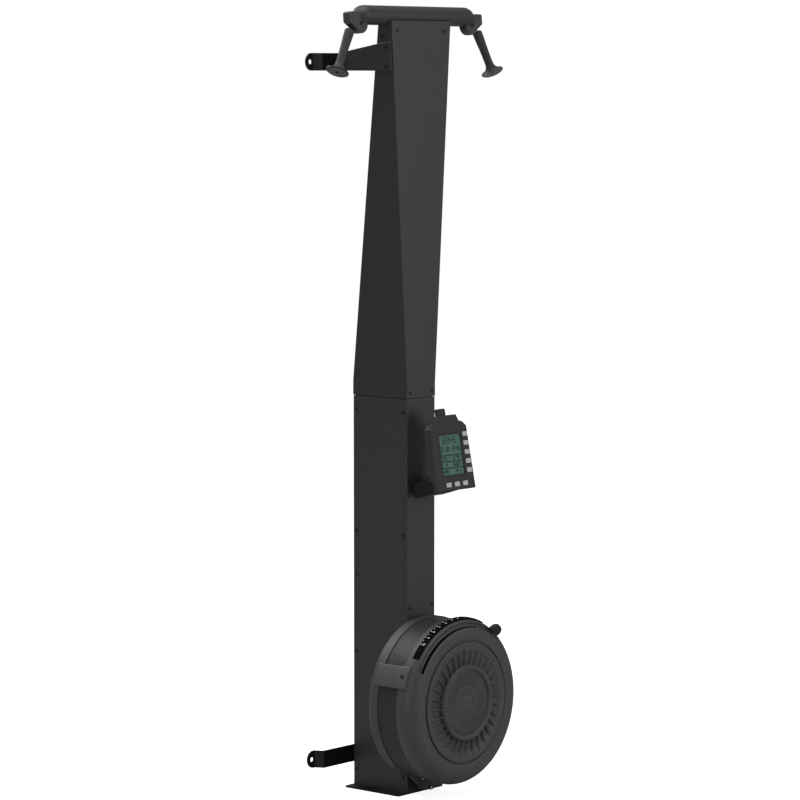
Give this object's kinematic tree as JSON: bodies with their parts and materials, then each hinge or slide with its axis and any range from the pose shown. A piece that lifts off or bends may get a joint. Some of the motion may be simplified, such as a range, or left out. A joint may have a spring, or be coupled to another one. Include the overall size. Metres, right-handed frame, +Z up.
{
  "type": "ski ergometer",
  "caption": "Upright wall-mounted cord-pull training machine with an air flywheel at its foot and a handle at each end of its crosshead.",
  "frame": {"origin": "centre of the underside of the base plate, which stands on the floor", "axes": "+Z up the column, +Y towards the wall behind it, -Y towards the user, +X to the user's right"},
  "size_m": [0.696, 0.3963, 2.13],
  "materials": {
    "column_paint": "satin charcoal powder coat",
    "side_paint": "satin charcoal powder coat, a shade darker",
    "bracket_paint": "satin black powder coat",
    "shell_plastic": "fine-grained charcoal plastic",
    "band_metal": "perforated charcoal sheet",
    "black_plastic": "black plastic",
    "head_plastic": "charcoal moulded plastic",
    "grip_rubber": "textured dark grip rubber",
    "cord": "black braided cord",
    "steel": "plain steel",
    "screw_steel": "blackened steel",
    "flywheel_alloy": "cast light alloy",
    "pulley_plastic": "dark nylon",
    "monitor_plastic": "charcoal moulded plastic",
    "lcd": "grey-green liquid crystal panel behind a clear window",
    "button_rubber": "light grey silicone keys"
  },
  "bodies": {
    "frame": {"base_plate": "bracket_paint", "front_channel": "column_paint", "back_channel": "column_paint", "side_cover_left": "column_paint", "side_cover_right": "column_paint", "upper_front_cover": "column_paint", "upper_back_shell": "side_paint", "lower_wall_bracket": "bracket_paint", "upper_wall_bracket": "bracket_paint", "bracket_gussets": "bracket_paint", "crosshead_tube": "column_paint", "crosshead_saddles": "bracket_paint", "tube_bushings": "pulley_plastic", "idler_axles": "steel", "drive_cords": "cord", "shock_cords": "cord", "shock_cord_guides": "pulley_plastic", "shaft_bearings": "steel", "fan_rear_shell": "shell_plastic", "perforated_band": "band_metal", "fan_front_shell": "shell_plastic", "fan_face_grille": "shell_plastic", "scale_strip": "black_plastic", "band_clamps": "shell_plastic", "monitor_bracket": "bracket_paint", "monitor_hinge_pin": "screw_steel", "panel_screws": "screw_steel"},
    "flywheel": {"flywheel": "flywheel_alloy", "fan_shaft": "steel"},
    "damper": {"damper_ring": "black_plastic", "damper_knob": "black_plastic"},
    "monitor": {"monitor_bezel": "monitor_plastic", "monitor_housing": "monitor_plastic", "lcd_panel": "lcd"},
    "head_left": {"head_front_shell_left": "head_plastic", "head_back_shell_left": "head_plastic", "head_axle_left": "screw_steel"},
    "head_pulley_left": {"head_pulley_left": "pulley_plastic"},
    "handle_left": {"handle_grip_left": "grip_rubber", "handle_core_left": "black_plastic", "cord_end_left": "cord"},
    "idler_pulley_left": {"idler_pulley_left": "pulley_plastic"},
    "drive_pulley_left": {"drive_pulley_left": "pulley_plastic"},
    "head_right": {"head_front_shell_right": "head_plastic", "head_back_shell_right": "head_plastic", "head_axle_right": "screw_steel"},
    "head_pulley_right": {"head_pulley_right": "pulley_plastic"},
    "handle_right": {"handle_grip_right": "grip_rubber", "handle_core_right": "black_plastic", "cord_end_right": "cord"},
    "idler_pulley_right": {"idler_pulley_right": "pulley_plastic"},
    "drive_pulley_right": {"drive_pulley_right": "pulley_plastic"},
    "monitor_button_1": {"monitor_button_1": "button_rubber"},
    "monitor_button_2": {"monitor_button_2": "button_rubber"},
    "monitor_button_3": {"monitor_button_3": "button_rubber"},
    "monitor_button_4": {"monitor_button_4": "button_rubber"},
    "monitor_button_5": {"monitor_button_5": "button_rubber"},
    "monitor_button_6": {"monitor_button_6": "button_rubber"},
    "monitor_button_7": {"monitor_button_7": "button_rubber"},
    "monitor_button_8": {"monitor_button_8": "button_rubber"}
  },
  "joints": [
    {"name": "fan_spin", "type": "hinge", "parent": "frame", "child": "flywheel", "pos_m": [0, -0.0965, 0.265], "axis": [0, 1, 0], "continuous": true},
    {"name": "damper_turn", "type": "hinge", "parent": "frame", "child": "damper", "pos_m": [0, -0.2425, 0.265], "axis": [0, 1, 0], "range_deg": [-91, 6]},
    {"name": "monitor_tilt", "type": "hinge", "parent": "frame", "child": "monitor", "pos_m": [0, -0.17489, 0.86616], "axis": [-1, 0, 0], "range_deg": [-10, 15]},
    {"name": "head_swivel_left", "type": "hinge", "parent": "frame", "child": "head_left", "pos_m": [-0.205, -0.0705, 2.104], "axis": [-1, 0, 0], "range_deg": [-10, 70]},
    {"name": "handle_pull_left", "type": "slide", "parent": "head_left", "child": "handle_left", "axis": [-0.4695, -0.0616, -0.8808], "range_m": [0, 1.3], "stiffness_N_per_m": 20, "springref_m": -1},
    {"name": "head_pulley_spin_left", "type": "hinge", "parent": "head_left", "child": "head_pulley_left", "pos_m": [-0.228, -0.07203, 2.08205], "axis": [0, -0.9976, 0.0698], "continuous": true},
    {"name": "idler_spin_left", "type": "hinge", "parent": "frame", "child": "idler_pulley_left", "pos_m": [-0.044, -0.0705, 2.084], "axis": [0, 1, 0], "continuous": true},
    {"name": "drive_spin_left", "type": "hinge", "parent": "frame", "child": "drive_pulley_left", "pos_m": [0, -0.0785, 0.265], "axis": [0, 1, 0], "continuous": true},
    {"name": "head_swivel_right", "type": "hinge", "parent": "frame", "child": "head_right", "pos_m": [0.205, -0.0705, 2.104], "axis": [-1, 0, 0], "range_deg": [-10, 70]},
    {"name": "handle_pull_right", "type": "slide", "parent": "head_right", "child": "handle_right", "axis": [0.4695, -0.0616, -0.8808], "range_m": [0, 1.3], "stiffness_N_per_m": 20, "springref_m": -1},
    {"name": "head_pulley_spin_right", "type": "hinge", "parent": "head_right", "child": "head_pulley_right", "pos_m": [0.228, -0.07203, 2.08205], "axis": [0, -0.9976, 0.0698], "continuous": true},
    {"name": "idler_spin_right", "type": "hinge", "parent": "frame", "child": "idler_pulley_right", "pos_m": [0.044, -0.0705, 2.084], "axis": [0, 1, 0], "continuous": true},
    {"name": "drive_spin_right", "type": "hinge", "parent": "frame", "child": "drive_pulley_right", "pos_m": [0, -0.0545, 0.265], "axis": [0, 1, 0], "continuous": true},
    {"name": "button_press_1", "type": "slide", "parent": "monitor", "child": "monitor_button_1", "axis": [0, 0.9848, -0.1736], "range_m": [0, 0.001], "stiffness_N_per_m": 300, "springref_m": -0.002},
    {"name": "button_press_2", "type": "slide", "parent": "monitor", "child": "monitor_button_2", "axis": [0, 0.9848, -0.1736], "range_m": [0, 0.001], "stiffness_N_per_m": 300, "springref_m": -0.002},
    {"name": "button_press_3", "type": "slide", "parent": "monitor", "child": "monitor_button_3", "axis": [0, 0.9848, -0.1736], "range_m": [0, 0.001], "stiffness_N_per_m": 300, "springref_m": -0.002},
    {"name": "button_press_4", "type": "slide", "parent": "monitor", "child": "monitor_button_4", "axis": [0, 0.9848, -0.1736], "range_m": [0, 0.001], "stiffness_N_per_m": 300, "springref_m": -0.002},
    {"name": "button_press_5", "type": "slide", "parent": "monitor", "child": "monitor_button_5", "axis": [0, 0.9848, -0.1736], "range_m": [0, 0.001], "stiffness_N_per_m": 300, "springref_m": -0.002},
    {"name": "button_press_6", "type": "slide", "parent": "monitor", "child": "monitor_button_6", "axis": [0, 0.9848, -0.1736], "range_m": [0, 0.001], "stiffness_N_per_m": 300, "springref_m": -0.002},
    {"name": "button_press_7", "type": "slide", "parent": "monitor", "child": "monitor_button_7", "axis": [0, 0.9848, -0.1736], "range_m": [0, 0.001], "stiffness_N_per_m": 300, "springref_m": -0.002},
    {"name": "button_press_8", "type": "slide", "parent": "monitor", "child": "monitor_button_8", "axis": [0, 0.9848, -0.1736], "range_m": [0, 0.001], "stiffness_N_per_m": 300, "springref_m": -0.002}
  ],
  "couplings": [
    {"joint": "head_pulley_spin_left", "follows": "handle_pull_left", "rad_per_m": 45.455},
    {"joint": "idler_spin_left", "follows": "handle_pull_left", "rad_per_m": -50},
    {"joint": "drive_spin_left", "follows": "handle_pull_left", "rad_per_m": 41.667},
    {"joint": "head_pulley_spin_right", "follows": "handle_pull_right", "rad_per_m": -45.455},
    {"joint": "idler_spin_right", "follows": "handle_pull_right", "rad_per_m": 50},
    {"joint": "drive_spin_right", "follows": "handle_pull_right", "rad_per_m": 41.667}
  ]
}
